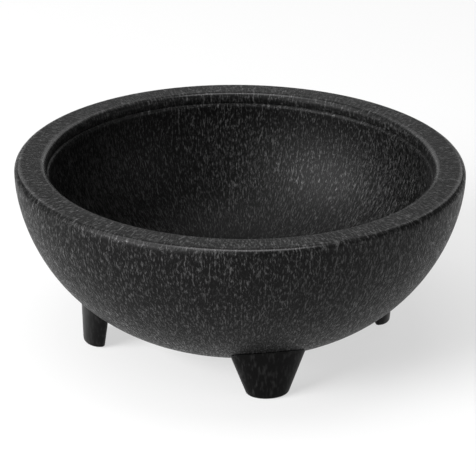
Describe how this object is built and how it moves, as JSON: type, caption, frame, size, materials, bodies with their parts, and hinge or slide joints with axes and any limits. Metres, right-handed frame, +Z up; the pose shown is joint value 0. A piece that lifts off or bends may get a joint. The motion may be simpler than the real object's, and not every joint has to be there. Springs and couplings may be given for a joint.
{
  "type": "molcajete",
  "caption": "Round thick-walled serving bowl with a broad flat rim and short tapered legs, moulded in heathered charcoal plastic to look like a stone molcajete.",
  "frame": {"origin": "on the bowl's axis, at the level of the soles that it stands on", "axes": "+Z up along the bowl's axis, from the soles to the rim. The legs lie along +X, +Y, -X and -Y, with leg_front on -Y."},
  "size_m": [0.21, 0.21, 0.0874],
  "materials": {
    "bowl_plastic": "moulded matte with fine pale streaks",
    "leg_plastic": "moulded smooth matte"
  },
  "bodies": {
    "root": {"bowl": "bowl_plastic", "leg_front": "leg_plastic", "leg_right": "leg_plastic", "leg_back": "leg_plastic", "leg_left": "leg_plastic"}
  },
  "joints": []
}
